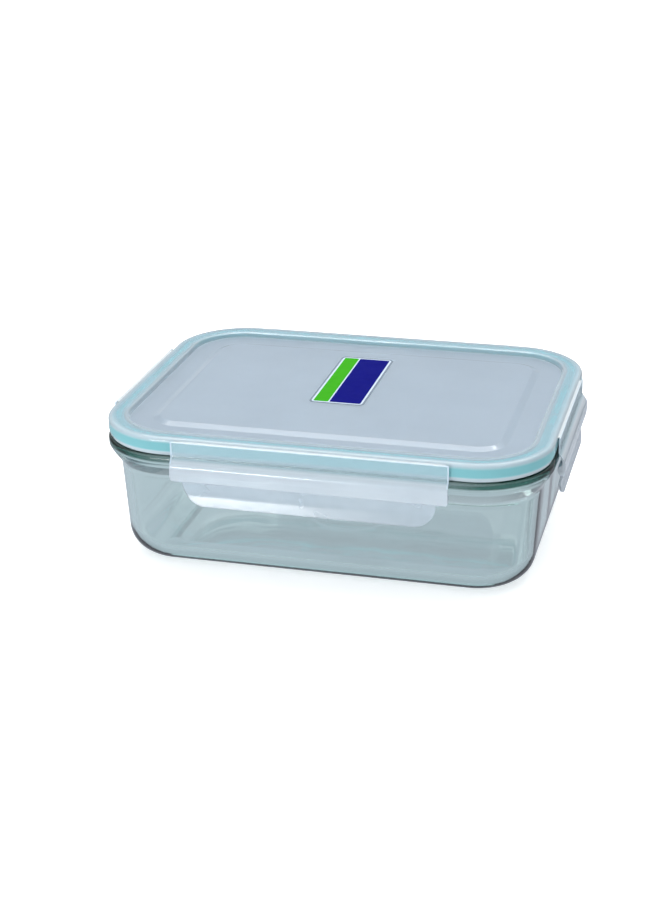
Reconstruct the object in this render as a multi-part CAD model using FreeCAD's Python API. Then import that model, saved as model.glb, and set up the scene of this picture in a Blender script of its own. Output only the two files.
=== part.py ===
import FreeCAD, Part
import math
import os

# Rectangular glass food container with a clip-down lid, in millimetres.
# The origin is at the centre of the base, +Z is up, +X runs along the long side, and the front is -Y.
# The lid, the sealing ring and the glass share the centres of their rounded corners, so each of
# them has one section, stated as (inset from the lid's outline, height, corner radius).

# Driving dimensions
LENGTH = 250.0
WIDTH = 192.5
HEIGHT = 80.5
CORNER_R = 41.5

# Glass container
GLASS_RIM_Z = 74.2
BEAD_Z = 67.0
BEAD_PROUD = 0.36
WALL_INSET = 6.2
WALL_TOP_Z = 55.0
WALL_DRAFT = 0.06
BASE_FILLET = 14.6
WALL_THICK = 4.0
FLOOR_THICK = 5.0
INNER_FILLET = 11.0
FOOT_WIDTH = 7.0
FOOT_HEIGHT = 0.8
FOOT_SLOPE = 6.0
BASE_MARK_R = 26.0
BASE_MARK_DEPTH = 0.4

# Lid
SKIRT_BOTTOM_Z = 70.5
SKIRT_THICK = 1.4
SKIRT_TAPER = 1.0
LID_THICK = 1.6
RIM_TOP_WIDTH = 11.0
CHANNEL_Z = 77.7
PANEL_Z = 79.1
PANEL_INSET = 29.0
BEVEL_WIDTH = 4.0
PLUG_BOTTOM_Z = 74.5

# Sealing ring
RING_OUTER = 1.95
RING_INNER = 8.65
RING_BOTTOM_Z = 74.4
RING_TOP_Z = 78.8

# Latches: heights are above the table, and offsets are outward from the lid's outline
LATCH_TOP_Z = 79.6
HINGE_Z = 79.3
HINGE_OUT = 0.55
BAND_BOTTOM_Z = 57.5
TAB_BOTTOM_Z = 44.0
BAND_CORNER_R = 2.2
PLATE_OUT = 1.6
LONG_LATCH_WIDTH = 152.0
LONG_TAB_STEP = 6.5
LONG_TAB_CORNER_R = 12.5
SHORT_LATCH_WIDTH = 96.0
SHORT_TAB_STEP = 4.0
SHORT_TAB_CORNER_R = 9.0
FILM_THICK = 0.3
FILM_OUT = 0.7
FILM_END_GAP = 2.0

# Label on the centre panel
LABEL_X = (-20.0, 12.0)
LABEL_Y = (-22.0, 57.0)
LABEL_THICK = 0.2
LABEL_CORNER_R = 3.0

UP = FreeCAD.Vector(0, 0, 1)


def rounded_wire(corners, place):
    """A closed wire through (a, b, radius) corners, each rounded by its radius, drawn by place(a, b)."""
    starts = []
    arcs = []
    count = len(corners)
    for i in range(count):
        a, b, radius = corners[i]
        here = FreeCAD.Vector(a, b, 0)
        before = FreeCAD.Vector(corners[i - 1][0], corners[i - 1][1], 0) - here
        after = FreeCAD.Vector(corners[(i + 1) % count][0], corners[(i + 1) % count][1], 0) - here
        before.normalize()
        after.normalize()
        if radius == 0:
            starts.append((here, here))
            arcs.append(None)
            continue
        half = before.getAngle(after) / 2
        reach = radius / math.tan(half)
        towards = before + after
        towards.normalize()
        middle = here + towards * (radius / math.sin(half) - radius)
        starts.append((here + before * reach, here + after * reach))
        arcs.append(middle)
    edges = []
    for i in range(count):
        first, last = [place(p.x, p.y) for p in starts[i]]
        if arcs[i] is not None:
            edges.append(Part.Arc(first, place(arcs[i].x, arcs[i].y), last).toShape())
        following = starts[(i + 1) % count][0]
        following = place(following.x, following.y)
        if following.distanceToPoint(last) > 1e-6:
            edges.append(Part.LineSegment(last, following).toShape())
    return Part.Wire(edges)


def joined(solids):
    """One solid from solids that meet face to face."""
    return solids[0].multiFuse(solids[1:]).removeSplitter().Solids[0]


def around_outline(section):
    """Sweeps a section around the rounded rectangle: four turned corners and four straight sides."""
    half_x = LENGTH / 2 - CORNER_R
    half_y = WIDTH / 2 - CORNER_R
    centres = [(half_x, -half_y), (half_x, half_y), (-half_x, half_y), (-half_x, -half_y)]
    solids = []
    for k in range(4):
        centre = FreeCAD.Vector(centres[k][0], centres[k][1], 0)
        following = FreeCAD.Vector(centres[(k + 1) % 4][0], centres[(k + 1) % 4][1], 0)
        for angle, sweep in ((90 * k - 90, "corner"), (90 * k, "side")):
            out = FreeCAD.Vector(math.cos(math.radians(angle)), math.sin(math.radians(angle)), 0)

            def place(inset, z, centre=centre, out=out):
                return centre + out * (CORNER_R - inset) + UP * z

            face = Part.Face(rounded_wire(section, place))
            if sweep == "corner":
                solids.append(face.revolve(centre, UP, 90))
            else:
                solids.append(face.extrude(following - centre))
    return solids


def core(low_z, high_z):
    """The block between the four corner centres, which closes a floor or a panel."""
    size_x = LENGTH - 2 * CORNER_R
    size_y = WIDTH - 2 * CORNER_R
    corner = FreeCAD.Vector(-size_x / 2, -size_y / 2, low_z)
    return Part.makeBox(size_x, size_y, high_z - low_z, corner)


def glass_body():
    """The pressed glass dish: foot, filleted base, drafted wall, flared bead and rim."""
    wall_foot = WALL_INSET + WALL_DRAFT * WALL_TOP_Z
    foot_outer = wall_foot + BASE_FILLET
    foot_inner = foot_outer + FOOT_WIDTH
    inner_top = WALL_INSET + WALL_THICK
    inner_foot = inner_top + WALL_DRAFT * (WALL_TOP_Z - FLOOR_THICK)
    section = [
        (CORNER_R, FOOT_HEIGHT, 0),
        (foot_inner + FOOT_SLOPE, FOOT_HEIGHT, 12.0),
        (foot_inner, 0, 12.0),
        (wall_foot, 0, BASE_FILLET),
        (WALL_INSET, WALL_TOP_Z, 9.0),
        (0.9, BEAD_Z - 4.2, 5.0),
        (-BEAD_PROUD, BEAD_Z - 1.5, 1.2),
        (-BEAD_PROUD, BEAD_Z + 2.8, 1.8),
        (2.7, BEAD_Z + 2.9, 0.6),
        (2.9, GLASS_RIM_Z, 1.6),
        (7.0, GLASS_RIM_Z, 1.6),
        (7.2, BEAD_Z - 3.0, 8.0),
        (inner_top, WALL_TOP_Z - 1.0, 12.0),
        (inner_foot, FLOOR_THICK, INNER_FILLET),
        (CORNER_R, FLOOR_THICK, 0),
    ]
    dish = joined(around_outline(section) + [core(FOOT_HEIGHT, FLOOR_THICK)])
    mark = Part.makeCylinder(BASE_MARK_R, BASE_MARK_DEPTH + 1, FreeCAD.Vector(0, 0, FOOT_HEIGHT - 1))
    return dish.cut(mark)


def lid():
    """The moulded cover: a skirt over the glass rim, a groove for the ring, and a raised panel."""
    skirt_inner = SKIRT_TAPER + SKIRT_THICK
    groove_inner = RING_INNER + 0.35
    groove_z = RING_TOP_Z + 0.15
    panel_under = PANEL_Z - LID_THICK
    channel_under = CHANNEL_Z - LID_THICK
    channel_inset = PANEL_INSET - BEVEL_WIDTH
    section = [
        (SKIRT_TAPER, SKIRT_BOTTOM_Z, 0.5),
        (0, SKIRT_BOTTOM_Z + 3.0, 4.0),
        (0, HEIGHT, 1.0),
        (RIM_TOP_WIDTH, HEIGHT, 1.2),
        (RIM_TOP_WIDTH + 1.0, CHANNEL_Z, 0.8),
        (channel_inset, CHANNEL_Z, 2.5),
        (PANEL_INSET, PANEL_Z, 2.5),
        (CORNER_R, PANEL_Z, 0),
        (CORNER_R, panel_under, 0),
        (PANEL_INSET + 0.6, panel_under, 2.5),
        (channel_inset + 0.6, channel_under, 2.5),
        (groove_inner + 1.7, channel_under, 0.8),
        (groove_inner + 1.5, PLUG_BOTTOM_Z, 0.5),
        (groove_inner + 0.3, PLUG_BOTTOM_Z, 0.5),
        (groove_inner, groove_z, 0.5),
        (SKIRT_THICK + 0.3, groove_z, 0.5),
        (SKIRT_THICK + 0.3, SKIRT_BOTTOM_Z + 3.5, 4.0),
        (skirt_inner, SKIRT_BOTTOM_Z, 0.5),
    ]
    return joined(around_outline(section) + [core(panel_under, PANEL_Z)])


def sealing_ring():
    """The silicone ring: two ridges on top, and two soft lips that meet the glass rim."""
    valley = 0.7
    lip = 0.25
    section = [
        (RING_OUTER, RING_BOTTOM_Z + lip, 0.3),
        (RING_OUTER, RING_TOP_Z, 0.6),
        (3.9, RING_TOP_Z, 0.5),
        (4.3, RING_TOP_Z - valley, 0.25),
        (4.7, RING_TOP_Z, 0.5),
        (7.5, RING_TOP_Z, 0.5),
        (7.8, RING_TOP_Z - valley, 0.2),
        (8.1, RING_TOP_Z, 0.2),
        (RING_INNER, RING_TOP_Z, 0.2),
        (RING_INNER, RING_BOTTOM_Z + lip, 0.3),
        (6.4, RING_BOTTOM_Z, 0.3),
        (5.4, RING_BOTTOM_Z + lip, 0.3),
        (4.6, RING_BOTTOM_Z + lip, 0.3),
        (3.6, RING_BOTTOM_Z, 0.3),
    ]
    return joined(around_outline(section))


def on_side(shape, side):
    """Moves a shape made at the front's outline, facing -Y, to one of the four sides."""
    turn, offset = {
        "front": (0, (0, -WIDTH / 2)),
        "right": (90, (LENGTH / 2, 0)),
        "back": (180, (0, WIDTH / 2)),
        "left": (270, (-LENGTH / 2, 0)),
    }[side]
    moved = shape.copy()
    moved.rotate(FreeCAD.Vector(0, 0, 0), UP, turn)
    moved.translate(FreeCAD.Vector(offset[0], offset[1], 0))
    return moved


def latch(width, tab_step, tab_corner_r):
    """A latch: a thin plate below the hinge, a hook that goes under the bead, and a finger tab."""
    section = [
        (HINGE_OUT + 0.5, LATCH_TOP_Z, 0.1),
        (PLATE_OUT, LATCH_TOP_Z, 0.25),
        (PLATE_OUT, 70.8, 1.2),
        (4.6, 66.6, 3.0),
        (4.9, 62.0, 5.0),
        (4.5, BAND_BOTTOM_Z + 0.9, 0.6),
        (3.5, BAND_BOTTOM_Z - 0.2, 0.8),
        (1.95, 51.2, 8.0),
        (3.4, TAB_BOTTOM_Z, 0.6),
        (2.0, TAB_BOTTOM_Z, 0.6),
        (0.75, 51.0, 8.0),
        (1.9, 57.4, 3.0),
        (0.72, 61.0, 0.8),
        (0.72, 62.8, 0.5),
        (3.0, 64.4, 0.8),
        (3.1, 66.5, 3.0),
        (0.85, 71.4, 4.0),
        (HINGE_OUT + 0.35, HINGE_Z - 0.15, 0.1),
    ]

    def place(out, z):
        return FreeCAD.Vector(-width / 2, -out, z)

    plate = Part.Face(rounded_wire(section, place)).extrude(FreeCAD.Vector(width, 0, 0))
    half = width / 2
    tab_half = half - tab_step
    front_view = [
        (-half, LATCH_TOP_Z + 1, 0),
        (half, LATCH_TOP_Z + 1, 0),
        (half, BAND_BOTTOM_Z, BAND_CORNER_R),
        (tab_half, BAND_BOTTOM_Z, 1.0),
        (tab_half, TAB_BOTTOM_Z, tab_corner_r),
        (-tab_half, TAB_BOTTOM_Z, tab_corner_r),
        (-tab_half, BAND_BOTTOM_Z, 1.0),
        (-half, BAND_BOTTOM_Z, BAND_CORNER_R),
    ]

    def look(x, z):
        return FreeCAD.Vector(x, 1, z)

    cutter = Part.Face(rounded_wire(front_view, look)).extrude(FreeCAD.Vector(0, -8, 0))
    return plate.common(cutter).removeSplitter().Solids[0]


def hinge_film(width):
    """The thin web that joins a latch to the lid's edge."""
    length = width - 2 * FILM_END_GAP
    corner = FreeCAD.Vector(-length / 2, -FILM_OUT, HINGE_Z - FILM_THICK / 2)
    return Part.makeBox(length, FILM_OUT, FILM_THICK, corner)


def lid_label():
    """The rounded label that lies on the centre panel."""
    corners = [
        (LABEL_X[0], LABEL_Y[0], LABEL_CORNER_R),
        (LABEL_X[1], LABEL_Y[0], LABEL_CORNER_R),
        (LABEL_X[1], LABEL_Y[1], LABEL_CORNER_R),
        (LABEL_X[0], LABEL_Y[1], LABEL_CORNER_R),
    ]

    def place(x, y):
        return FreeCAD.Vector(x, y, PANEL_Z)

    return Part.Face(rounded_wire(corners, place)).extrude(UP * LABEL_THICK)


def write(name, shape):
    """Writes one sub-part, and prints its solids, volume and validity."""
    shape.exportStep(f"parts/{name}.step")
    print(name, len(shape.Solids), round(shape.Volume / 1000, 2), "cm3", shape.isValid())


os.makedirs("parts", exist_ok=True)
write("glass_body", glass_body())
write("lid", lid())
write("sealing_ring", sealing_ring())
write("lid_label", lid_label())
long_latch = (LONG_LATCH_WIDTH, LONG_TAB_STEP, LONG_TAB_CORNER_R)
short_latch = (SHORT_LATCH_WIDTH, SHORT_TAB_STEP, SHORT_TAB_CORNER_R)
latches = {"front": long_latch, "right": short_latch, "back": long_latch, "left": short_latch}
for side_name, sizes in latches.items():
    write(f"{side_name}_latch", on_side(latch(*sizes), side_name))
    write(f"{side_name}_hinge_film", on_side(hinge_film(sizes[0]), side_name))
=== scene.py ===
import math

import bmesh
import bpy
from mathutils import Matrix, Vector, noise


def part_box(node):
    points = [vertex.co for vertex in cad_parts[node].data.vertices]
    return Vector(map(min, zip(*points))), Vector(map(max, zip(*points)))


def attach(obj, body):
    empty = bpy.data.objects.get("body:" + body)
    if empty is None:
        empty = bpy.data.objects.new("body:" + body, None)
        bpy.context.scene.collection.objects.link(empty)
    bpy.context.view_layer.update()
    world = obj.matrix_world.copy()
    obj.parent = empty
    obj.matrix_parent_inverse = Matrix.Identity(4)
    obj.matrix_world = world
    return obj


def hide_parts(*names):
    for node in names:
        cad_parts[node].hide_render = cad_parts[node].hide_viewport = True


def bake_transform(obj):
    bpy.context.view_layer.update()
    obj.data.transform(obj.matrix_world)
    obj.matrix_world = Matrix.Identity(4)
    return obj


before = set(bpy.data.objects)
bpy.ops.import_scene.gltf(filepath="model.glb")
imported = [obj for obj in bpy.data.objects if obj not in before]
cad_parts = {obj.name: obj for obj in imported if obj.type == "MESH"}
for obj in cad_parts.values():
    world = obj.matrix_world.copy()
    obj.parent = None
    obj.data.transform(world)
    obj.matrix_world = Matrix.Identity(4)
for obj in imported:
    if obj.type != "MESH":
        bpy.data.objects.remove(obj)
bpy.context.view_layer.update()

MM = 0.001

# ---------------------------------------------------------------- sizes, in millimetres
LID_LOW, LID_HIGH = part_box("lid")
LENGTH = (LID_HIGH.x - LID_LOW.x) / MM
WIDTH = (LID_HIGH.y - LID_LOW.y) / MM
HEIGHT = LID_HIGH.z / MM
CORNER_R = 41.5

GLASS_RIM_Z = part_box("glass_body")[1].z / MM
BEAD_Z = 67.0
BEAD_PROUD = 0.36
WALL_INSET = 6.2
WALL_TOP_Z = 55.0
WALL_DRAFT = 0.06
WALL_THICK = 4.0
BASE_FILLET = 14.6
FLOOR_THICK = 5.0
INNER_FILLET = 11.0
FOOT_WIDTH = 7.0
FOOT_SLOPE = 6.0
FOOT_HEIGHT = 0.8
BASE_MARK_R = 26.0
BASE_MARK_DEPTH = 0.4
BASE_MARK_SLOPE = 2.2

SKIRT_BOTTOM_Z = LID_LOW.z / MM
SKIRT_THICK = 1.4
SKIRT_TAPER = 1.0
LID_THICK = 1.6
RIM_TOP_WIDTH = 11.0
CHANNEL_Z = 77.7
PANEL_Z = 79.1
PANEL_INSET = 29.0
BEVEL_WIDTH = 4.0
PLUG_BOTTOM_Z = 74.5
RIM_EDGE_R = 1.9
GATE_R = 2.6

RING_LOW, RING_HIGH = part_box("sealing_ring")
RING_BOTTOM_Z = RING_LOW.z / MM
RING_TOP_Z = RING_HIGH.z / MM
RING_OUTER = 1.95
RING_INNER = 8.65

HINGE_Z = 79.3
HINGE_OUT = 0.55
LATCH_TOP_Z = 79.6
BAND_BOTTOM_Z = 57.5
TAB_BOTTOM_Z = 44.0
BAND_CORNER_R = 2.2
PLATE_OUT = 1.6
PLATE_END_Z = 68.6
LATCH_EDGE_WIDTH = 0.9
LATCH_ROUNDING = 0.16
NECK_R = 1.0
# How far the tab steps in from the band's ends, and the radius of its corners
TABS = {"long": (6.5, 12.5), "short": (4.0, 9.0)}

# The web's extent out from the lid's outline, half its thickness in the middle, and how much thicker it
# gets at its edges
WEB_OUT = (-0.35, HINGE_OUT + 0.62)
WEB_THIN = 0.13
WEB_FLARE = 0.12

LABEL_LOW, LABEL_HIGH = [(corner.x / MM, corner.y / MM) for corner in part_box("lid_label")]
LABEL_MARGIN = 1.2
LABEL_BORDER = 1.1
LABEL_BAND = 8.6
LABEL_GAP = 0.8

# The turn of each side about Z in degrees, and the middle of the lid's edge there
SIDES = {
    "front": (0, (0, -WIDTH / 2)),
    "right": (90, (LENGTH / 2, 0)),
    "back": (180, (0, WIDTH / 2)),
    "left": (270, (-LENGTH / 2, 0)),
}

# How far the moulds' waviness moves the glass and the lid, and between which heights it moves the lid
GLASS_WAVE = 0.09
LID_WAVE = 0.1
LID_WAVE_Z = (75.8, 79.3)

# Mesh steps around the outline: per corner, per long side and per short side
CORNER_STEPS = 28
LONG_STEPS = 40
SHORT_STEPS = 28
RUN_STEP = 6.0


# ---------------------------------------------------------------- outlines
def rounded(corners, closed=True, steps=7, guard=0.5):
    """Points along a line through (a, b, radius) corners. Round corners get arcs, and long straight
    runs get a point near each end, so that smooth shading stays flat between them."""
    count = len(corners)
    runs = []
    for i in range(count):
        a, b, radius = corners[i]
        here = Vector((a, b))
        if radius == 0 or (not closed and i in (0, count - 1)):
            runs.append([here])
            continue
        before = (Vector(corners[i - 1][:2]) - here).normalized()
        after = (Vector(corners[(i + 1) % count][:2]) - here).normalized()
        half = before.angle(after) / 2
        reach = radius / math.tan(half)
        centre = here + (before + after).normalized() * (radius / math.sin(half))
        start = here + before * reach - centre
        end = here + after * reach - centre
        sweep = math.pi - 2 * half
        turn = 1 if start.x * end.y - start.y * end.x > 0 else -1
        arc = []
        for k in range(steps + 1):
            angle = turn * sweep * k / steps
            spun = Vector((
                start.x * math.cos(angle) - start.y * math.sin(angle),
                start.x * math.sin(angle) + start.y * math.cos(angle),
            ))
            arc.append(centre + spun)
        runs.append(arc)
    points = []
    for i, run in enumerate(runs):
        points.extend(run)
        if not closed and i == count - 1:
            break
        following = runs[(i + 1) % count][0]
        gap = (following - run[-1]).length
        if gap > 3 * guard:
            step = (following - run[-1]) / gap
            points.append(run[-1] + step * guard)
            inner = gap - 2 * guard
            pieces = max(1, round(inner / RUN_STEP))
            for k in range(1, pieces):
                points.append(run[-1] + step * (guard + inner * k / pieces))
            points.append(following - step * guard)
    return points


def outline_stations():
    """Stations around the lid's outline: (corner centre or point between two, outward direction)."""
    half_x = LENGTH / 2 - CORNER_R
    half_y = WIDTH / 2 - CORNER_R
    centres = [(half_x, -half_y), (half_x, half_y), (-half_x, half_y), (-half_x, -half_y)]
    stations = []
    for k in range(4):
        centre = Vector(centres[k])
        following = Vector(centres[(k + 1) % 4])
        for i in range(CORNER_STEPS):
            angle = math.radians(90 * k - 90 + 90 * i / CORNER_STEPS)
            stations.append((centre, Vector((math.cos(angle), math.sin(angle)))))
        angle = math.radians(90 * k)
        out = Vector((math.cos(angle), math.sin(angle)))
        steps = SHORT_STEPS if k % 2 == 0 else LONG_STEPS
        for i in range(steps):
            stations.append((centre.lerp(following, i / steps), out))
    return stations


def outline_inset(x, y):
    """How far inside the lid's outline a point is."""
    over_x = abs(x) - (LENGTH / 2 - CORNER_R)
    over_y = abs(y) - (WIDTH / 2 - CORNER_R)
    if over_x > 0 and over_y > 0:
        return CORNER_R - math.hypot(over_x, over_y)
    return CORNER_R - max(over_x, over_y)


def finish_mesh(name, bm, *materials, smooth=True):
    """An object from a bmesh in millimetres."""
    bmesh.ops.recalc_face_normals(bm, faces=bm.faces)
    bmesh.ops.scale(bm, vec=(MM, MM, MM), verts=bm.verts)
    mesh = bpy.data.meshes.new(name)
    bm.to_mesh(mesh)
    bm.free()
    for polygon in mesh.polygons:
        polygon.use_smooth = smooth
    piece = bpy.data.objects.new(name, mesh)
    bpy.context.scene.collection.objects.link(piece)
    for material in materials:
        mesh.materials.append(material)
    return piece


def swept(name, section, material, steps):
    """A ring with one (inset, height, radius) section carried around the outline."""
    points = rounded(section, steps=steps)
    bm = bmesh.new()
    rows = []
    for centre, out in outline_stations():
        row = []
        for inset, z in points:
            xy = centre + out * (CORNER_R - inset)
            row.append(bm.verts.new((xy.x, xy.y, z)))
        rows.append(row)
    count = len(points)
    for k, row in enumerate(rows):
        other = rows[(k + 1) % len(rows)]
        for i in range(count):
            j = (i + 1) % count
            bm.faces.new((row[i], other[i], other[j], row[j]))
    return finish_mesh(name, bm, material)


def fill_core(bm, row, stations, rings, steps=7):
    """Closes the middle of a swept floor or panel: from its inner edge to a circle, and on to the
    centre. The rings are (radius, height), from the circle inward."""
    first_r, first_z = rings[0]
    angles = []
    for centre, out in stations:
        edge = centre + out * CORNER_R
        angles.append(math.atan2(edge.y, edge.x))
    starts = [v.co.copy() for v in row]
    rows = [row]
    for k in range(1, steps + 1):
        t = k / steps
        ring = []
        for start, angle in zip(starts, angles):
            end = Vector((first_r * math.cos(angle), first_r * math.sin(angle), first_z))
            ring.append(bm.verts.new(start.lerp(end, t)))
        rows.append(ring)
    for radius, z in rings[1:]:
        rows.append([bm.verts.new((radius * math.cos(a), radius * math.sin(a), z)) for a in angles])
    for outer, inner in zip(rows, rows[1:]):
        for k in range(len(outer)):
            j = (k + 1) % len(outer)
            bm.faces.new((outer[k], outer[j], inner[j], inner[k]))
    bm.faces.new(rows[-1])


def dish(name, section, materials, bottom_rings, top_rings, shift, steps):
    """A closed shell whose section runs from the middle of its underside to the middle of its top."""
    points = rounded(section, closed=False, steps=steps)
    stations = outline_stations()
    bm = bmesh.new()
    rows = []
    for inset, z in points:
        row = []
        for centre, out in stations:
            xy = centre + out * (CORNER_R - inset)
            row.append(bm.verts.new((xy.x, xy.y, z)))
        rows.append(row)
    for row, above in zip(rows, rows[1:]):
        for k in range(len(row)):
            j = (k + 1) % len(row)
            bm.faces.new((row[k], row[j], above[j], above[k]))
    fill_core(bm, rows[0], stations, bottom_rings)
    fill_core(bm, rows[-1], stations, top_rings)
    bmesh.ops.remove_doubles(bm, verts=bm.verts, dist=1e-4)
    bmesh.ops.dissolve_degenerate(bm, edges=bm.edges, dist=1e-5)
    for v in bm.verts:
        v.co = shift(v.co)
    return finish_mesh(name, bm, *materials)


# ---------------------------------------------------------------- colours
def colour(r, g, b):
    """A linear colour from 0 to 255 screen values."""
    def linear(c):
        c = c / 255
        return c / 12.92 if c <= 0.04045 else ((c + 0.055) / 1.055) ** 2.4

    return (linear(r), linear(g), linear(b), 1.0)


GLASS_IOR = 1.5
GLASS_TINT = (0.42, 0.81, 0.74, 1)
GLASS_DENSITY = 36.0
# Painted shade for the bead: a dark green that stands in for the dark surroundings its refraction shows
BEAD_PAINTED_SHADE = (0.012, 0.066, 0.046, 1)

PLASTIC_IOR = 1.49
PANEL_COLOUR = (colour(194, 210, 225), colour(202, 217, 231))
RIM_COLOUR = (colour(214, 229, 239), colour(222, 235, 243))
# Painted glow: the ring's aqua light through the skirt, painted on it as a band, and how much less clear
# the skirt is there
PAINTED_RING_LIGHT_COLOUR = colour(128, 190, 198)
PAINTED_RING_LIGHT_COVER = 0.5
LATCH_COLOUR = (colour(222, 233, 244), colour(232, 241, 249))
LATCH_EDGE_COLOUR = (colour(190, 208, 222), colour(200, 217, 229))
THIN_COLOUR = colour(196, 223, 234)
# Near white: partly the thicker plastic of the hinge web, partly a painted highlight line along the hinge
FILM_MILK_AND_HIGHLIGHT_COLOUR = (colour(240, 248, 252), colour(248, 252, 255))
STICKER_COLOUR = (colour(132, 148, 166), colour(144, 160, 176))

RING_COLOUR = (colour(44, 206, 212), colour(70, 218, 222))
# Painted glow on the ring: emission that stands in for the light it gets through the lid's rim
RING_PAINTED_GLOW_COLOUR = colour(84, 214, 218)
RING_PAINTED_GLOW = 0.30

# Stops of (height, value): the bead's painted shade, a dark green that stands in for the dark
# surroundings its refraction shows, and the glass's clearness, lowered just under the skirt so that the
# painted shade shows there as a dull band; the painted glow of the ring's aqua light through the lid's
# skirt; and the latches' clearness and how far they are the thin plate, whose top edge is milky white,
# partly for the thicker plastic at the hinge and partly as a painted highlight line along it
BEAD_SHADE_STOPS = [(66.0, 0.0), (67.0, 1.0), (71.0, 1.0), (71.6, 0.0), (75.0, 0.0)]
GLASS_CLEAR = [(60, 1.0), (69.3, 1.0), (69.7, 0.45), (71.2, 0.45), (71.8, 1.0), (75, 1.0)]
PAINTED_RING_LIGHT_STOPS = [(70, 0.0), (72.3, 0.0), (73.4, 1.0), (77.6, 1.0), (79.3, 0.0), (81, 0.0)]
LATCH_CLEAR = [(40, 0.74), (57.2, 0.74), (58.2, 0.54), (68.4, 0.54), (70.4, 0.1), (80, 0.1)]
# The top stop makes the plate's upper edge milky white: partly the thicker plastic at the hinge, partly a
# painted highlight line along it
LATCH_THIN = [(40, 0.0), (PLATE_END_Z, 0.0), (70.4, 1.0), (78.9, 1.0), (79.2, 0.15), (80, 0.15)]

# Stops of (inset from the lid's outline, value): the skirt, and the rim's clearness
SKIRT_STOPS = [(-1, 1.0), (1.9, 1.0), (2.3, 0.0), (6, 0.0)]
RIM_CLEAR = [(-1, 0.6), (1.6, 0.6), (4.8, 0.93), (7.0, 0.93), (10.5, 0.72), (13, 0.7)]


# ---------------------------------------------------------------- materials
def new_material(name):
    """A node material, its Principled shader, and a function that adds and returns a node."""
    material = bpy.data.materials.new(name)
    material.use_nodes = True
    nodes = material.node_tree.nodes
    links = material.node_tree.links
    shader = nodes["Principled BSDF"]

    def add(kind, **settings):
        node = nodes.new(kind)
        for key, value in settings.items():
            if key.startswith("in_"):
                node.inputs[key[3:].replace("_", " ")].default_value = value
            else:
                setattr(node, key, value)
        return node

    return material, shader, add, links.new


def mixed(add, link, share, first, second):
    """A colour between two, each of them a plain colour or a socket."""
    mix = add("ShaderNodeMix", data_type="RGBA")
    link(share, mix.inputs[0])
    for socket, value in zip(mix.inputs[6:8], (first, second)):
        if isinstance(value, tuple):
            socket.default_value = value
        else:
            link(value, socket)
    return mix.outputs[2]


def varied(add, link, coords, scale, low, high, detail=3.0, stretch=(1, 1, 1)):
    """A value or colour that wanders between low and high over the surface."""
    mapping = add("ShaderNodeMapping")
    mapping.inputs["Scale"].default_value = stretch
    link(coords.outputs["Object"], mapping.inputs["Vector"])
    field = add("ShaderNodeTexNoise", in_Scale=scale, in_Detail=detail, in_Roughness=0.55)
    link(mapping.outputs["Vector"], field.inputs["Vector"])
    if isinstance(low, tuple):
        return mixed(add, link, field.outputs["Fac"], low, high)
    span = add("ShaderNodeMapRange", in_From_Min=0.25, in_From_Max=0.75, in_To_Min=low, in_To_Max=high)
    link(field.outputs["Fac"], span.inputs["Value"])
    return span.outputs["Result"]


def bumped(add, link, shader, height, distance, strength):
    """Surface relief from a height socket, in metres."""
    bump = add("ShaderNodeBump", in_Distance=distance, in_Strength=strength)
    link(height, bump.inputs["Height"])
    link(bump.outputs["Normal"], shader.inputs["Normal"])


def grained(add, link, shader, coords, scale, distance, strength=0.4):
    """A very fine surface grain."""
    fine = varied(add, link, coords, scale, 0.0, 1.0, detail=1.0)
    bumped(add, link, shader, fine, distance, strength)


def by_length(add, link, length, stops):
    """A value that follows (length in millimetres, value) stops along a length socket in metres."""
    low, high = stops[0][0], stops[-1][0]
    span = add("ShaderNodeMapRange", in_From_Min=low * MM, in_From_Max=high * MM)
    link(length, span.inputs["Value"])
    ramp = add("ShaderNodeValToRGB")
    link(span.outputs["Result"], ramp.inputs["Fac"])
    elements = ramp.color_ramp.elements
    elements[0].color = (stops[0][1],) * 3 + (1,)
    elements[1].color = (stops[-1][1],) * 3 + (1,)
    for place, value in stops[1:-1]:
        elements.new((place - low) / (high - low)).color = (value,) * 3 + (1,)
    return ramp.outputs["Color"]


def by_height(add, link, coords, stops):
    """A value that follows (height in millimetres, value) stops up the object."""
    split = add("ShaderNodeSeparateXYZ")
    link(coords.outputs["Object"], split.inputs["Vector"])
    return by_length(add, link, split.outputs["Z"], stops)


def combine(add, link, first, second, operation="MULTIPLY"):
    """Two values multiplied, or joined by another operation."""
    node = add("ShaderNodeMath", operation=operation)
    for socket, value in zip(node.inputs, (first, second)):
        if isinstance(value, float):
            socket.default_value = value
        else:
            link(value, socket)
    return node.outputs["Value"]


def by_inset(add, link, coords, stops):
    """A value that follows (inset in millimetres, value) stops inwards from the lid's outline."""
    split = add("ShaderNodeSeparateXYZ")
    link(coords.outputs["Object"], split.inputs["Vector"])
    squares = []
    for axis, span in (("X", LENGTH), ("Y", WIDTH)):
        past = combine(add, link, split.outputs[axis], 0.0, "ABSOLUTE")
        past = combine(add, link, past, (span / 2 - CORNER_R) * MM, "SUBTRACT")
        past = combine(add, link, past, 0.0, "MAXIMUM")
        squares.append(combine(add, link, past, 2.0, "POWER"))
    reach = combine(add, link, combine(add, link, squares[0], squares[1], "ADD"), 0.5, "POWER")
    inset = combine(add, link, CORNER_R * MM, reach, "SUBTRACT")
    return by_length(add, link, inset, stops)


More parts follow.
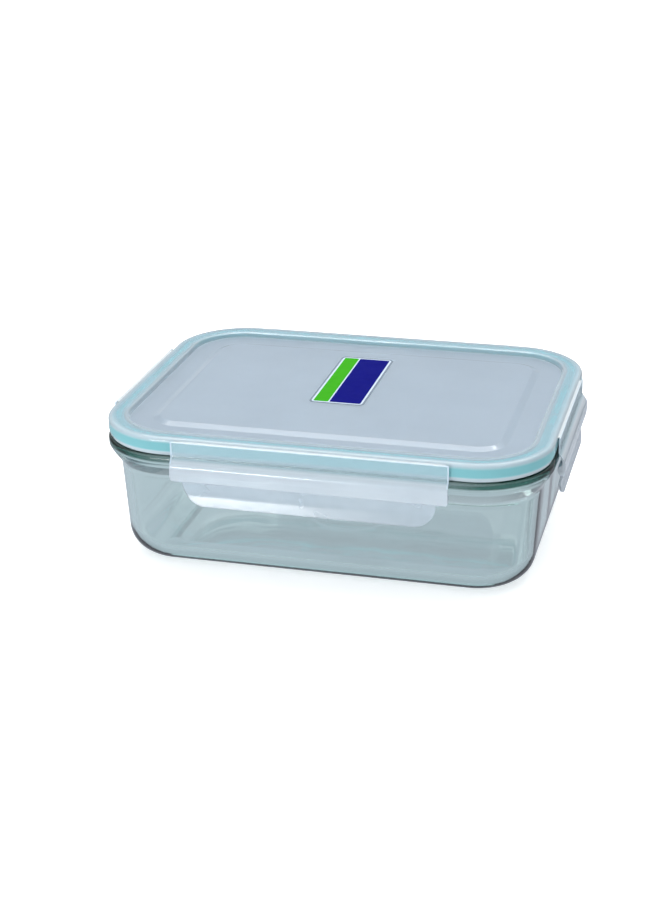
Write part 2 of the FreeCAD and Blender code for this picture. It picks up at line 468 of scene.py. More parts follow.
def glass_material():
    """Pressed soda-lime glass: faint green in its thickness, a painted dark green shade in streaks on the
    thick bead that stands in for the dark surroundings its refraction shows, and a slow ripple from the
    mould."""
    material, shader, add, link = new_material("pressed_glass")
    coords = add("ShaderNodeTexCoord")
    shader.inputs["IOR"].default_value = GLASS_IOR
    tint = varied(add, link, coords, 60, (0.965, 0.98, 0.98, 1), (0.985, 0.995, 0.99, 1))
    # Painted shade over the bead's height, in streaks, a little weaker along the middle of the long sides
    bead = by_height(add, link, coords, BEAD_SHADE_STOPS)
    streaks = varied(add, link, coords, 1.0, 0.92, 1.2, detail=2.0, stretch=(9, 9, 420))
    # Less clear just under the skirt, so that the painted shade shows there as a dull band
    link(by_height(add, link, coords, GLASS_CLEAR), shader.inputs["Transmission Weight"])
    split = add("ShaderNodeSeparateXYZ")
    link(coords.outputs["Object"], split.inputs["Vector"])
    ends = add("ShaderNodeMapRange", in_From_Min=0.07, in_From_Max=0.105, in_To_Min=0.82, in_To_Max=1.0)
    link(combine(add, link, split.outputs["X"], 0.0, "ABSOLUTE"), ends.inputs["Value"])
    bead = combine(add, link, bead, ends.outputs["Result"])
    shaded_colour = mixed(add, link, combine(add, link, bead, streaks), tint, BEAD_PAINTED_SHADE)
    link(shaded_colour, shader.inputs["Base Color"])
    link(varied(add, link, coords, 45, 0.0, 0.03), shader.inputs["Roughness"])
    ripple = varied(add, link, coords, 30, 0.0, 1.0, detail=1.0, stretch=(1.0, 1.0, 0.25))
    bumped(add, link, shader, ripple, 0.0003, 0.3)
    absorb = add("ShaderNodeVolumeAbsorption")
    absorb.inputs["Color"].default_value = GLASS_TINT
    absorb.inputs["Density"].default_value = GLASS_DENSITY
    link(absorb.outputs["Volume"], material.node_tree.nodes["Material Output"].inputs["Volume"])
    return material


def polished(shader, coat):
    """A thin glossy skin over moulded plastic."""
    shader.inputs["IOR"].default_value = PLASTIC_IOR
    shader.inputs["Coat Weight"].default_value = coat
    shader.inputs["Coat Roughness"].default_value = 0.06


def plastic_material(name, colours, clear, rough, coat=0.0, clear_stops=None, thin_stops=None, cover=1.0):
    """Translucent polypropylene: slow cloudiness from the moulding flow and a very fine satin grain.
    The stops make the milkiness follow the moulding's thickness up the piece, and say where it is
    so thin that it covers only part of what is behind."""
    material, shader, add, link = new_material(name)
    coords = add("ShaderNodeTexCoord")
    polished(shader, coat)
    milk = varied(add, link, coords, 22, *colours, stretch=(1.0, 1.6, 1.0))
    satin = varied(add, link, coords, 60, rough * 0.85, rough * 1.15)
    if thin_stops:
        thin = by_height(add, link, coords, thin_stops)
        faded = combine(add, link, thin, 1.0 - cover)
        link(combine(add, link, 1.0, faded, "SUBTRACT"), shader.inputs["Alpha"])
        milk = mixed(add, link, thin, milk, THIN_COLOUR)
    link(milk, shader.inputs["Base Color"])
    link(satin, shader.inputs["Roughness"])
    cloud = varied(add, link, coords, 35, clear * 0.95, clear * 1.05)
    if clear_stops:
        cloud = combine(add, link, cloud, by_height(add, link, coords, clear_stops))
    link(cloud, shader.inputs["Transmission Weight"])
    grained(add, link, shader, coords, 500, 0.000004)
    return material


def rim_material():
    """The lid's rim: clear over the ring, milky along its thick edges, and with a painted glow: the
    ring's aqua light shining through the skirt, painted into the skirt's colour as a band."""
    material, shader, add, link = new_material("rim_plastic")
    coords = add("ShaderNodeTexCoord")
    polished(shader, 0.3)
    skirt = by_inset(add, link, coords, SKIRT_STOPS)
    # Painted glow: a band of the ring's aqua light on the skirt, which is made less clear there
    ring_light = combine(add, link, skirt, by_height(add, link, coords, PAINTED_RING_LIGHT_STOPS))
    plain = varied(add, link, coords, 22, *RIM_COLOUR, stretch=(1.0, 1.6, 1.0))
    link(mixed(add, link, ring_light, plain, PAINTED_RING_LIGHT_COLOUR), shader.inputs["Base Color"])
    cloud = varied(add, link, coords, 35, 0.76, 0.84)
    milk = by_inset(add, link, coords, RIM_CLEAR)
    clouded = combine(add, link, cloud, milk)
    cut = combine(add, link, 1.0, combine(add, link, ring_light, PAINTED_RING_LIGHT_COVER), "SUBTRACT")
    link(combine(add, link, clouded, cut), shader.inputs["Transmission Weight"])
    link(varied(add, link, coords, 60, 0.09, 0.13), shader.inputs["Roughness"])
    grained(add, link, shader, coords, 500, 0.000004)
    return material


def silicone_material():
    """Aqua silicone: soft satin, slightly uneven in colour, and with a painted glow, a weak emission that
    stands in for the light it gets through the rim around it.
    """
    material, shader, add, link = new_material("aqua_silicone")
    coords = add("ShaderNodeTexCoord")
    link(varied(add, link, coords, 40, *RING_COLOUR), shader.inputs["Base Color"])
    link(varied(add, link, coords, 160, 0.38, 0.55), shader.inputs["Roughness"])
    shader.inputs["Subsurface Weight"].default_value = 0.25
    shader.inputs["Subsurface Radius"].default_value = (0.6, 1.0, 1.0)
    shader.inputs["Subsurface Scale"].default_value = 0.0015
    # Painted glow, standing in for the light that comes through the rim
    shader.inputs["Emission Color"].default_value = RING_PAINTED_GLOW_COLOUR
    shader.inputs["Emission Strength"].default_value = RING_PAINTED_GLOW
    grained(add, link, shader, coords, 900, 0.00001, 0.5)
    return material


def print_material(name, low, high, rough=0.5):
    """Printed film: even ink with a faint screen grain."""
    material, shader, add, link = new_material(name)
    coords = add("ShaderNodeTexCoord")
    link(varied(add, link, coords, 220, low, high), shader.inputs["Base Color"])
    link(varied(add, link, coords, 120, rough - 0.05, rough + 0.05), shader.inputs["Roughness"])
    shader.inputs["Specular IOR Level"].default_value = 0.1
    shader.inputs["IOR"].default_value = 1.15
    grained(add, link, shader, coords, 1200, 0.000004)
    return material


GLASS = glass_material()
RIM_PLASTIC = rim_material()
PANEL_PLASTIC = plastic_material("panel_plastic", PANEL_COLOUR, 0.6, 0.36, coat=0.5)
LATCH_PLASTICS = {
    kind: plastic_material(
        f"{kind}_latch_plastic", LATCH_COLOUR, 0.95, 0.2, coat=0.6,
        clear_stops=LATCH_CLEAR, thin_stops=LATCH_THIN, cover=cover,
    )
    for kind, cover in (("long", 0.33), ("short", 0.55))
}
LATCH_EDGE = plastic_material("latch_edge", LATCH_EDGE_COLOUR, 0.2, 0.2, coat=0.6)
# The hinge web: near white, partly its thicker plastic and partly a painted highlight line along the
# hinge
FILM_MILK_AND_HIGHLIGHT_PLASTIC = plastic_material("film_milk_and_highlight_plastic", FILM_MILK_AND_HIGHLIGHT_COLOUR, 0.35, 0.2, coat=0.5)
SILICONE = silicone_material()
INK_BLUE = print_material("ink_blue", colour(8, 10, 108), colour(12, 16, 122))
INK_GREEN = print_material("ink_green", colour(56, 158, 26), colour(66, 170, 32))
INK_WHITE = print_material("ink_white", colour(198, 212, 228), colour(208, 221, 235))
STICKER = plastic_material("sticker_film", STICKER_COLOUR, 0.3, 0.2)


# ---------------------------------------------------------------- glass dish
def glass_shift(place):
    """The mould's slow waviness on the walls and corners, fading out at the base and under the rim."""
    rise = min(max((place.z - 8) / 14, 0), 1) * min(max((60 - place.z) / 10, 0), 1)
    wave = noise.noise(Vector((place.x / 19, place.y / 19, place.z / 70)))
    away = Vector((place.x / LENGTH, place.y / WIDTH, 0))
    return place - away.normalized() * (GLASS_WAVE * rise * wave) if away.length > 0.01 else place


def make_glass():
    """The dish: foot, filleted base, drafted wall, flared bead, rim, inner wall and floor."""
    wall_foot = WALL_INSET + WALL_DRAFT * WALL_TOP_Z
    foot_outer = wall_foot + BASE_FILLET
    foot_inner = foot_outer + FOOT_WIDTH
    inner_top = WALL_INSET + WALL_THICK
    inner_foot = inner_top + WALL_DRAFT * (WALL_TOP_Z - FLOOR_THICK)
    section = [
        (CORNER_R, FOOT_HEIGHT, 0),
        (foot_inner + FOOT_SLOPE, FOOT_HEIGHT, 12.0),
        (foot_inner, 0, 12.0),
        (wall_foot, 0, BASE_FILLET),
        (WALL_INSET, WALL_TOP_Z, 9.0),
        (0.9, BEAD_Z - 4.2, 5.0),
        (-BEAD_PROUD, BEAD_Z - 1.5, 1.2),
        (-BEAD_PROUD, BEAD_Z + 2.8, 1.8),
        (2.7, BEAD_Z + 2.9, 0.6),
        (2.9, GLASS_RIM_Z, 1.6),
        (7.0, GLASS_RIM_Z, 1.6),
        (7.2, BEAD_Z - 3.0, 8.0),
        (inner_top, WALL_TOP_Z - 1.0, 12.0),
        (inner_foot, FLOOR_THICK, INNER_FILLET),
        (CORNER_R, FLOOR_THICK, 0),
    ]
    bottom = [(BASE_MARK_R, FOOT_HEIGHT)]
    for k in range(1, 9):
        share = k / 8
        rise = BASE_MARK_DEPTH * share * share * (3 - 2 * share)
        bottom.append((BASE_MARK_R - BASE_MARK_SLOPE * share, FOOT_HEIGHT + rise))
    top = [(BASE_MARK_R + 0.5, FLOOR_THICK)]
    for radius in (14, 6, 1):
        bottom.append((radius, FOOT_HEIGHT + BASE_MARK_DEPTH))
        top.append((radius, FLOOR_THICK))
    piece = dish("glass_dish", section, [GLASS], bottom, top, shift=glass_shift, steps=8)
    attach(piece, "container")
    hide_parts("glass_body")


# ---------------------------------------------------------------- lid
def lid_shift(place):
    """A moulded lid is never quite flat: its panel and channel wander by a tenth of a millimetre.
    The flat stays true under the label."""
    if place.z < LID_WAVE_Z[0] or place.z > LID_WAVE_Z[1]:
        return place
    beside_x = max(LABEL_LOW[0] - place.x, place.x - LABEL_HIGH[0])
    beside_y = max(LABEL_LOW[1] - place.y, place.y - LABEL_HIGH[1])
    fade = min(max((max(beside_x, beside_y) - 2) / 12, 0), 1)
    wave = noise.noise(Vector((place.x / 55, place.y / 40, 3.0)))
    return place + Vector((0, 0, LID_WAVE * wave * fade))


def make_lid():
    """The cover: skirt, rim over the ring's groove, sunken channel, bevel and raised panel."""
    skirt_inner = SKIRT_TAPER + SKIRT_THICK
    groove_inner = RING_INNER + 0.35
    groove_z = RING_TOP_Z + 0.15
    panel_under = PANEL_Z - LID_THICK
    channel_under = CHANNEL_Z - LID_THICK
    channel_inset = PANEL_INSET - BEVEL_WIDTH
    section = [
        (CORNER_R, panel_under, 0),
        (PANEL_INSET + 0.6, panel_under, 2.5),
        (channel_inset + 0.6, channel_under, 2.5),
        (groove_inner + 1.7, channel_under, 0.8),
        (groove_inner + 1.5, PLUG_BOTTOM_Z, 0.5),
        (groove_inner + 0.3, PLUG_BOTTOM_Z, 0.5),
        (groove_inner, groove_z, 0.5),
        (SKIRT_THICK + 0.3, groove_z, 0.5),
        (SKIRT_THICK + 0.3, SKIRT_BOTTOM_Z + 3.5, 4.0),
        (skirt_inner, SKIRT_BOTTOM_Z, 0.5),
        (SKIRT_TAPER, SKIRT_BOTTOM_Z, 0.5),
        (0, SKIRT_BOTTOM_Z + 3.0, 4.0),
        (0, HEIGHT, RIM_EDGE_R),
        (RIM_TOP_WIDTH, HEIGHT, 1.2),
        (RIM_TOP_WIDTH + 1.0, CHANNEL_Z, 0.8),
        (channel_inset, CHANNEL_Z, 2.5),
        (PANEL_INSET, PANEL_Z, 2.5),
        (CORNER_R, PANEL_Z, 0),
    ]
    bottom = [(GATE_R * 3, panel_under), (GATE_R, panel_under), (GATE_R * 0.5, panel_under)]
    top = [
        (GATE_R * 3, PANEL_Z),
        (GATE_R, PANEL_Z),
        (GATE_R - 0.15, PANEL_Z - 0.12),
        (GATE_R * 0.5, PANEL_Z - 0.15),
        (0.4, PANEL_Z - 0.15),
    ]
    plastics = [PANEL_PLASTIC, RIM_PLASTIC]
    piece = dish("lid_cover", section, plastics, bottom, top, shift=lid_shift, steps=6)
    for polygon in piece.data.polygons:
        middle = polygon.center / MM
        if outline_inset(middle.x, middle.y) < RIM_TOP_WIDTH + 1.1:
            polygon.material_index = 1
    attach(piece, "cover")
    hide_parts("lid")


def make_ring():
    """The silicone ring: two ridges on top with a valley between, and two lips on the glass."""
    valley = 0.7
    lip = 0.25
    section = [
        (RING_OUTER, RING_BOTTOM_Z + lip, 0.3),
        (RING_OUTER, RING_TOP_Z, 0.6),
        (3.9, RING_TOP_Z, 0.5),
        (4.3, RING_TOP_Z - valley, 0.25),
        (4.7, RING_TOP_Z, 0.5),
        (7.5, RING_TOP_Z, 0.5),
        (7.8, RING_TOP_Z - valley, 0.2),
        (8.1, RING_TOP_Z, 0.2),
        (RING_INNER, RING_TOP_Z, 0.2),
        (RING_INNER, RING_BOTTOM_Z + lip, 0.3),
        (6.4, RING_BOTTOM_Z, 0.3),
        (5.4, RING_BOTTOM_Z + lip, 0.3),
        (4.6, RING_BOTTOM_Z + lip, 0.3),
        (3.6, RING_BOTTOM_Z, 0.3),
    ]
    piece = swept("silicone_ring", section, SILICONE, steps=4)
    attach(piece, "cover")
    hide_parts("sealing_ring")


# ---------------------------------------------------------------- latches
def side_matrix(side):
    """From a side's own frame (facing -Y, at the lid's outline) to its place on the lid."""
    turn, (x, y) = SIDES[side]
    return Matrix.Translation((x * MM, y * MM, 0)) @ Matrix.Rotation(math.radians(turn), 4, "Z")


def side_half(node):
    """Half the width of a latch or a web along its side, in millimetres."""
    low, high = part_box(node)
    return max(high.x - low.x, high.y - low.y) / MM / 2


def quarter(height, radius):
    """How far a quarter circle has come in at a height above its foot."""
    return math.sqrt(max(radius**2 - (radius - height) ** 2, 0))


def half_width(z, half, tab_step, tab_corner_r):
    """Half the latch's width at a height: a wide band above, and a narrower tab with round corners."""
    if z >= BAND_BOTTOM_Z:
        rise = min(z - BAND_BOTTOM_Z, BAND_CORNER_R)
        return half - BAND_CORNER_R + quarter(rise, BAND_CORNER_R)
    rise = min(z - TAB_BOTTOM_Z, tab_corner_r)
    drop = min(BAND_BOTTOM_Z - z, NECK_R)
    wide = half - tab_step - tab_corner_r + quarter(rise, tab_corner_r)
    return wide + NECK_R - quarter(drop, NECK_R)


def chain_points(chain, extra):
    """A rounded open chain of (out, z) points from top to bottom, with rows added at extra heights."""
    points = [(p.x, p.y) for p in rounded(chain, closed=False, steps=6, guard=0.4)]
    for z in extra:
        for k in range(len(points) - 1):
            (a, za), (b, zb) = points[k], points[k + 1]
            if za > z > zb:
                t = (za - z) / (za - zb)
                points.insert(k + 1, (a + (b - a) * t, z))
                break
    return points


def corner_heights(bottom, radius, angles):
    """The heights at which a round corner gets a row of points."""
    return [bottom + radius * (1 - math.cos(math.radians(angle))) for angle in angles]


def close_end(bm, end, front, back, front_rows, back_rows):
    """One end of a latch, filled between its front and back chains from top to bottom."""
    i, j = 0, 0
    while i < len(front) - 1 or j < len(back) - 1:
        next_front = front[i + 1][1] if i < len(front) - 1 else -1
        next_back = back[j + 1][1] if j < len(back) - 1 else -1
        if next_front >= next_back:
            bm.faces.new((front_rows[i][end], front_rows[i + 1][end], back_rows[j][end]))
            i += 1
        else:
            bm.faces.new((front_rows[i][end], back_rows[j + 1][end], back_rows[j][end]))
            j += 1


def make_latch(side):
    """A latch: clear plate below the hinge, milky band with the hook behind it, and finger tab."""
    half = side_half(f"{side}_latch")
    kind = "long" if side in ("front", "back") else "short"
    tab_step, tab_corner_r = TABS[kind]
    outer = [
        (PLATE_OUT, LATCH_TOP_Z, 0),
        (PLATE_OUT, 70.8, 1.2),
        (4.6, 66.6, 3.0),
        (4.9, 62.0, 5.0),
        (4.5, BAND_BOTTOM_Z + 0.9, 0.6),
        (3.5, BAND_BOTTOM_Z - 0.2, 0.8),
        (1.95, 51.2, 8.0),
        (3.4, TAB_BOTTOM_Z, 0),
    ]
    inner = [
        (HINGE_OUT + 0.5, LATCH_TOP_Z, 0),
        (HINGE_OUT + 0.35, HINGE_Z - 0.15, 0.1),
        (0.85, 71.4, 4.0),
        (3.1, 66.5, 3.0),
        (3.0, 64.4, 0.8),
        (0.72, 62.8, 0.5),
        (0.72, 61.0, 0.8),
        (1.9, 57.4, 3.0),
        (0.75, 51.0, 8.0),
        (2.0, TAB_BOTTOM_Z, 0),
    ]
    extra = [BAND_BOTTOM_Z + drop for drop in (0.001, -0.001, -0.3, -NECK_R)]
    extra += corner_heights(BAND_BOTTOM_Z, BAND_CORNER_R, (25, 45, 65, 90))
    extra += corner_heights(TAB_BOTTOM_Z, tab_corner_r, range(10, 91, 8))
    extra.sort(reverse=True)
    front = chain_points(outer, extra)
    back = chain_points(inner, extra)
    core_half = half - tab_step - tab_corner_r - 0.8
    columns = max(6, round(2 * core_half / 5.0))
    end_shares = (0.3, 0.6, 0.85, 0.96, 1.0)
    bm = bmesh.new()

    def row(out, z):
        wide = max(half_width(z, half, tab_step, tab_corner_r), core_half + 0.2)
        ends = [core_half + (wide - core_half) * share for share in end_shares]
        core = [core_half * (-1 + 2 * k / columns) for k in range(columns + 1)]
        across = [-x for x in reversed(ends)] + core + ends
        return [bm.verts.new((x, -out, z)) for x in across]

    front_rows = [row(*point) for point in front]
    back_rows = [row(*point) for point in back]
    loop = front_rows + back_rows[::-1]
    for k in range(len(loop)):
        a, b = loop[k], loop[(k + 1) % len(loop)]
        for i in range(len(a) - 1):
            bm.faces.new((a[i], b[i], b[i + 1], a[i + 1]))
    for end in (0, -1):
        close_end(bm, end, front, back, front_rows, back_rows)
    piece = finish_mesh(f"{side}_latch_plate", bm, LATCH_PLASTICS[kind], LATCH_EDGE)
    for polygon in piece.data.polygons:
        middle = polygon.center
        if abs(middle.x) > (half - LATCH_EDGE_WIDTH) * MM and middle.z > PLATE_END_Z * MM:
            polygon.material_index = 1
    bevel = piece.modifiers.new("rounded_edges", "BEVEL")
    bevel.width = LATCH_ROUNDING * MM
    bevel.segments = 2
    bevel.limit_method = "ANGLE"
    bevel.angle_limit = math.radians(48)
    piece.data.transform(side_matrix(side))
    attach(piece, f"{side}_latch_body")
    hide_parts(f"{side}_latch")


def make_film(side):
    """The living hinge, which on the real lid bends as the latch opens: a thin web from the lid's edge to
    the latch, built flat; here it does not bend.
    """
    half = side_half(f"{side}_hinge_film")
    start_out, end_out = WEB_OUT
    across, along = 12, 36
    bm = bmesh.new()
    sheets = []
    for side_of in (1, -1):
        rows = []
        for i in range(across + 1):
            t = i / across
            out = start_out + (end_out - start_out) * t
            thick = WEB_THIN + WEB_FLARE * (2 * t - 1) ** 4
            rows.append([
                bm.verts.new((half * (2 * k / along - 1), -out, HINGE_Z + side_of * thick))
                for k in range(along + 1)
            ])
        sheets.append(rows)
    top, under = sheets
    for i in range(across):
        for k in range(along):
            bm.faces.new((top[i][k], top[i + 1][k], top[i + 1][k + 1], top[i][k + 1]))
            bm.faces.new((under[i][k], under[i][k + 1], under[i + 1][k + 1], under[i + 1][k]))
        for k in (0, along):
            bm.faces.new((top[i][k], under[i][k], under[i + 1][k], top[i + 1][k]))
    for i in (0, across):
        for k in range(along):
            bm.faces.new((top[i][k], top[i][k + 1], under[i][k + 1], under[i][k]))
    piece = finish_mesh(f"{side}_hinge_web", bm, FILM_MILK_AND_HIGHLIGHT_PLASTIC)
    matrix = side_matrix(side)
    piece.data.transform(matrix)
    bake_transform(piece)
    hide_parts(f"{side}_hinge_film")


# ---------------------------------------------------------------- label
def round_rect(low, high, radius):
    """The outline of a rounded rectangle, counter-clockwise from its lower right corner."""
    places = [(high[0], low[1]), (high[0], high[1]), (low[0], high[1]), (low[0], low[1])]
    corners = [(x, y, radius) for x, y in places]
    return [(p.x, p.y) for p in rounded(corners, steps=10, guard=0.4)]


def moved_in(low, high, by):
    """The corners of a rectangle, moved in on all sides."""
    return (low[0] + by, low[1] + by), (high[0] - by, high[1] - by)


def plate(name, low, high, radius, low_z, high_z, material):
    """A thin rounded rectangle with a softened upper edge, in millimetres."""
    soft = (high_z - low_z) * 0.5
    middle = ((low[0] + high[0]) / 2, (low[1] + high[1]) / 2)
    edge = round_rect(low, high, radius)
    face = round_rect(*moved_in(low, high, soft), radius - soft)
    bm = bmesh.new()
    rings = [[bm.verts.new((x, y, z)) for x, y in edge] for z in (low_z, high_z - soft)]
    rings.append([bm.verts.new((x, y, high_z)) for x, y in face])
    for share in (0.75, 0.5, 0.25):
        ring = []
        for x, y in face:
            place = (middle[0] + (x - middle[0]) * share, middle[1] + (y - middle[1]) * share, high_z)
            ring.append(bm.verts.new(place))
        rings.append(ring)
    count = len(edge)
    for ring, following in zip(rings, rings[1:]):
        for k in range(count):
            j = (k + 1) % count
            bm.faces.new((ring[k], ring[j], following[j], following[k]))
    for ring, z in ((rings[-1], high_z), (rings[0], low_z)):
        centre = bm.verts.new((middle[0], middle[1], z))
        for k in range(count):
            bm.faces.new((ring[k], ring[(k + 1) % count], centre))
    return finish_mesh(name, bm, material, smooth=False)


def make_label():
    """A plain generic label: a clear film with a white border, a blue field and a green band."""
    z = PANEL_Z
    film = plate("label_film", LABEL_LOW, LABEL_HIGH, 3.0, z + 0.01, z + 0.07, STICKER)
    low, high = moved_in(LABEL_LOW, LABEL_HIGH, LABEL_MARGIN)
    white = plate("label_border", low, high, 2.2, z + 0.085, z + 0.11, INK_WHITE)
    low, high = moved_in(low, high, LABEL_BORDER)
    split = low[0] + LABEL_BAND
    green = plate("label_band", low, (split, high[1]), 0.9, z + 0.13, z + 0.17, INK_GREEN)
    blue = plate("label_field", (split + LABEL_GAP, low[1]), high, 0.9, z + 0.13, z + 0.17, INK_BLUE)
    for piece in (film, white, green, blue):
        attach(piece, "cover")
    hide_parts("lid_label")


make_glass()
make_lid()
make_ring()
make_label()
for side_name in SIDES:
    make_latch(side_name)
    make_film(side_name)


# ---------------------------------------------------------------- floor, light and camera
FLOOR_GLOW = 0.56
FLOOR_RADIUS = 9000
WALL_RADIUS = 8900
WALL_HEIGHT = 9000
STAGE_SEGMENTS = 96
DARK_BASE = (0.02, 0.02, 0.02, 1)
MAT_COLOUR = (0.555, 0.6, 0.675, 1)
MAT_RADIUS = 3000

# The sky's colours from the horizon up, and those behind the object
SKY = [
    (0.0, (0.03, 0.08, 0.07, 1)),
    (0.12, (0.09, 0.14, 0.135, 1)),
    (0.34, (0.48, 0.54, 0.58, 1)),
    (0.9, (1.0, 1.0, 1.0, 1)),
]
BACKDROP = [
    (0.0, (0.86, 0.92, 0.96, 1)),
    (0.2, (0.86, 0.92, 0.96, 1)),
    (0.3, (0.48, 0.54, 0.59, 1)),
    (0.4, (0.54, 0.60, 0.65, 1)),
    (0.46, (0.95, 0.98, 1.0, 1)),
    (0.9, (1.0, 1.0, 1.0, 1)),
]

CAMERA_AZIMUTH = math.radians(15.107)
CAMERA_ELEVATION = math.radians(22.375)
CAMERA_ROLL = math.radians(-0.887)
CAMERA_DISTANCE = 1.029705
CAMERA_SIDE = 0.013716
CAMERA_RISE = -0.039247
SENSOR_WIDTH = 36.0
FOCAL_LENGTH = 69.55


def disc(name, radius, z, material):
    """A flat stage disc, in millimetres."""
    bm = bmesh.new()
    bmesh.ops.create_circle(bm, cap_ends=True, radius=radius, segments=STAGE_SEGMENTS)
    bmesh.ops.translate(bm, verts=bm.verts, vec=(0, 0, z))
    piece = finish_mesh(name, bm, material)
    return piece


def make_floor():
    """A pale matt floor that glows a little, so that it stays pale to its far edge."""
    material, shader, add, link = new_material("pale_floor")
    coords = add("ShaderNodeTexCoord")
    shade = varied(add, link, coords, 3.0, (0.93, 0.94, 0.95, 1), (0.95, 0.955, 0.96, 1))
    link(shade, shader.inputs["Base Color"])
    shader.inputs["Roughness"].default_value = 0.85
    shader.inputs["Emission Color"].default_value = (1, 1, 1, 1)
    shader.inputs["Emission Strength"].default_value = FLOOR_GLOW
    disc("floor", FLOOR_RADIUS, -0.5, material)


def make_backdrop():
    """A pale wall far behind the object, all the way round, that only the camera sees."""
    material, shader, add, link = new_material("pale_backdrop")
    coords = add("ShaderNodeTexCoord")
    shade = varied(add, link, coords, 0.3, (0.97, 0.98, 0.99, 1), (1, 1, 1, 1))
    link(shade, shader.inputs["Emission Color"])
    shader.inputs["Emission Strength"].default_value = 1.0
    shader.inputs["Base Color"].default_value = DARK_BASE
    bm = bmesh.new()
    rows = []
    for z in (-0.5, WALL_HEIGHT):
        row = []
        for k in range(STAGE_SEGMENTS):
            angle = 2 * math.pi * k / STAGE_SEGMENTS
            row.append(bm.verts.new((WALL_RADIUS * math.cos(angle), WALL_RADIUS * math.sin(angle), z)))
        rows.append(row)
    foot, top = rows
    for k in range(STAGE_SEGMENTS):
        j = (k + 1) % STAGE_SEGMENTS
        bm.faces.new((foot[k], foot[j], top[j], top[k]))
    piece = finish_mesh("backdrop", bm, material)
    piece.visible_diffuse = False
    piece.visible_glossy = False
    piece.visible_transmission = False
    piece.visible_shadow = False


def make_mat():
    """A grey reflector on the floor that only the glass and the gloss see. It darkens to the right
    and away from the object, which gives the glass its darker edges."""
    material, shader, add, link = new_material("grey_mat")
    coords = add("ShaderNodeTexCoord")
    darker = tuple(0.97 * c for c in MAT_COLOUR[:3]) + (1,)
    link(varied(add, link, coords, 4.0, MAT_COLOUR, darker), shader.inputs["Emission Color"])
    split = add("ShaderNodeSeparateXYZ")
    link(coords.outputs["Object"], split.inputs["Vector"])
    fall = add("ShaderNodeMapRange", in_From_Min=-0.15, in_From_Max=0.5, in_To_Min=1.0, in_To_Max=0.76)
    link(split.outputs["X"], fall.inputs["Value"])
    reach = add("ShaderNodeVectorMath", operation="LENGTH")
    link(coords.outputs["Object"], reach.inputs[0])
    edge = add("ShaderNodeMapRange", in_From_Min=0.22, in_From_Max=0.5, in_To_Min=1.0, in_To_Max=0.25)
    link(reach.outputs["Value"], edge.inputs["Value"])
    strength = combine(add, link, fall.outputs["Result"], edge.outputs["Result"])
    link(strength, shader.inputs["Emission Strength"])
    shader.inputs["Base Color"].default_value = DARK_BASE
    shader.inputs["Specular IOR Level"].default_value = 0.0
    mat = disc("grey_mat", MAT_RADIUS, -0.25, material)
    mat.visible_camera = False
    mat.visible_diffuse = False
    mat.visible_shadow = False


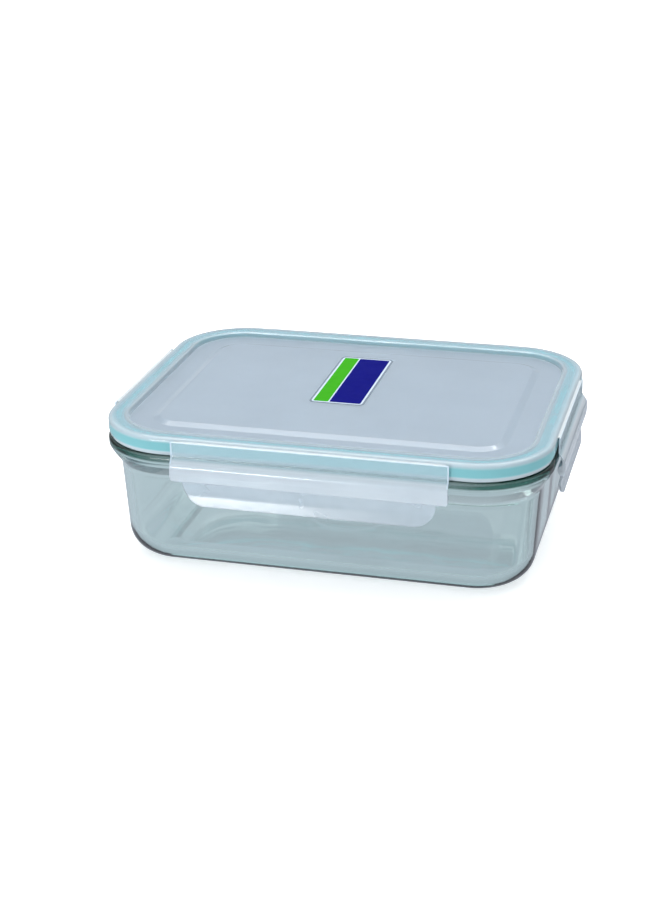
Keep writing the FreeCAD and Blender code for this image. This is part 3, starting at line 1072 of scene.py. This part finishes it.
def make_sky():
    """An even studio sky: dark at the horizon, a banded backdrop behind the object, and dimmer
    towards the right."""
    world = bpy.data.worlds.new("studio")
    bpy.context.scene.world = world
    world.use_nodes = True
    nodes, links = world.node_tree.nodes, world.node_tree.links
    background = nodes["Background"]
    coords = nodes.new("ShaderNodeTexCoord")
    split = nodes.new("ShaderNodeSeparateXYZ")
    links.new(coords.outputs["Generated"], split.inputs["Vector"])

    def ramp_of(stops):
        ramp = nodes.new("ShaderNodeValToRGB")
        links.new(split.outputs["Z"], ramp.inputs["Fac"])
        elements = ramp.color_ramp.elements
        elements[0].position, elements[0].color = stops[0]
        elements[1].position, elements[1].color = stops[-1]
        for position, shade in stops[1:-1]:
            elements.new(position).color = shade
        return ramp.outputs["Color"]

    def span_of(axis, low, high, first=0.0, last=1.0):
        span = nodes.new("ShaderNodeMapRange")
        span.interpolation_type = "SMOOTHSTEP"
        span.inputs["From Min"].default_value = low
        span.inputs["From Max"].default_value = high
        span.inputs["To Min"].default_value = first
        span.inputs["To Max"].default_value = last
        links.new(split.outputs[axis], span.inputs["Value"])
        return span.outputs["Result"]

    mix = nodes.new("ShaderNodeMix")
    mix.data_type = "RGBA"
    links.new(span_of("Y", 0.45, 0.85), mix.inputs[0])
    links.new(ramp_of(SKY), mix.inputs[6])
    links.new(ramp_of(BACKDROP), mix.inputs[7])
    links.new(mix.outputs[2], background.inputs["Color"])
    links.new(span_of("X", 0.15, 0.9, 1.0, 0.6), background.inputs["Strength"])


def softbox(name, place, target, size, power):
    """A rectangular area light, in metres and watts."""
    data = bpy.data.lights.new(name, "AREA")
    data.shape = "RECTANGLE"
    data.size, data.size_y = size
    data.energy = power
    lamp = bpy.data.objects.new(name, data)
    lamp.location = place
    lamp.rotation_euler = (Vector(target) - Vector(place)).to_track_quat("-Z", "Y").to_euler()
    bpy.context.scene.collection.objects.link(lamp)


def make_stage():
    """A pale floor and wall, an even sky, and soft light from above, behind and front left."""
    make_floor()
    make_backdrop()
    make_mat()
    make_sky()
    softbox("overhead", (0.0, 0.35, 1.5), (0, 0, 0.04), (1.6, 1.2), 12.0)
    softbox("strip", (-0.15, 0.85, 1.25), (0, 0, 0.08), (1.3, 0.12), 5.0)
    softbox("front_left", (-0.56, -1.3, 0.06), (0, 0, 0.05), (0.5, 0.3), 10.0)


def make_camera():
    """The viewing angle: a little to the right of the front, and a little above."""
    back = Vector((
        math.sin(CAMERA_AZIMUTH) * math.cos(CAMERA_ELEVATION),
        -math.cos(CAMERA_AZIMUTH) * math.cos(CAMERA_ELEVATION),
        math.sin(CAMERA_ELEVATION),
    ))
    level = Vector((math.cos(CAMERA_AZIMUTH), math.sin(CAMERA_AZIMUTH), 0))
    up = back.cross(level)
    right = level * math.cos(CAMERA_ROLL) + up * math.sin(CAMERA_ROLL)
    top = up * math.cos(CAMERA_ROLL) - level * math.sin(CAMERA_ROLL)
    place = back * CAMERA_DISTANCE - right * CAMERA_SIDE - top * CAMERA_RISE
    data = bpy.data.cameras.new("camera")
    data.sensor_width = SENSOR_WIDTH
    data.lens = FOCAL_LENGTH
    camera = bpy.data.objects.new("camera", data)
    turn = Matrix((right, top, back)).transposed().to_4x4()
    camera.matrix_world = Matrix.Translation(place) @ turn
    bpy.context.scene.collection.objects.link(camera)
    bpy.context.scene.camera = camera


make_stage()
make_camera()
bpy.context.scene.view_settings.view_transform = "Standard"
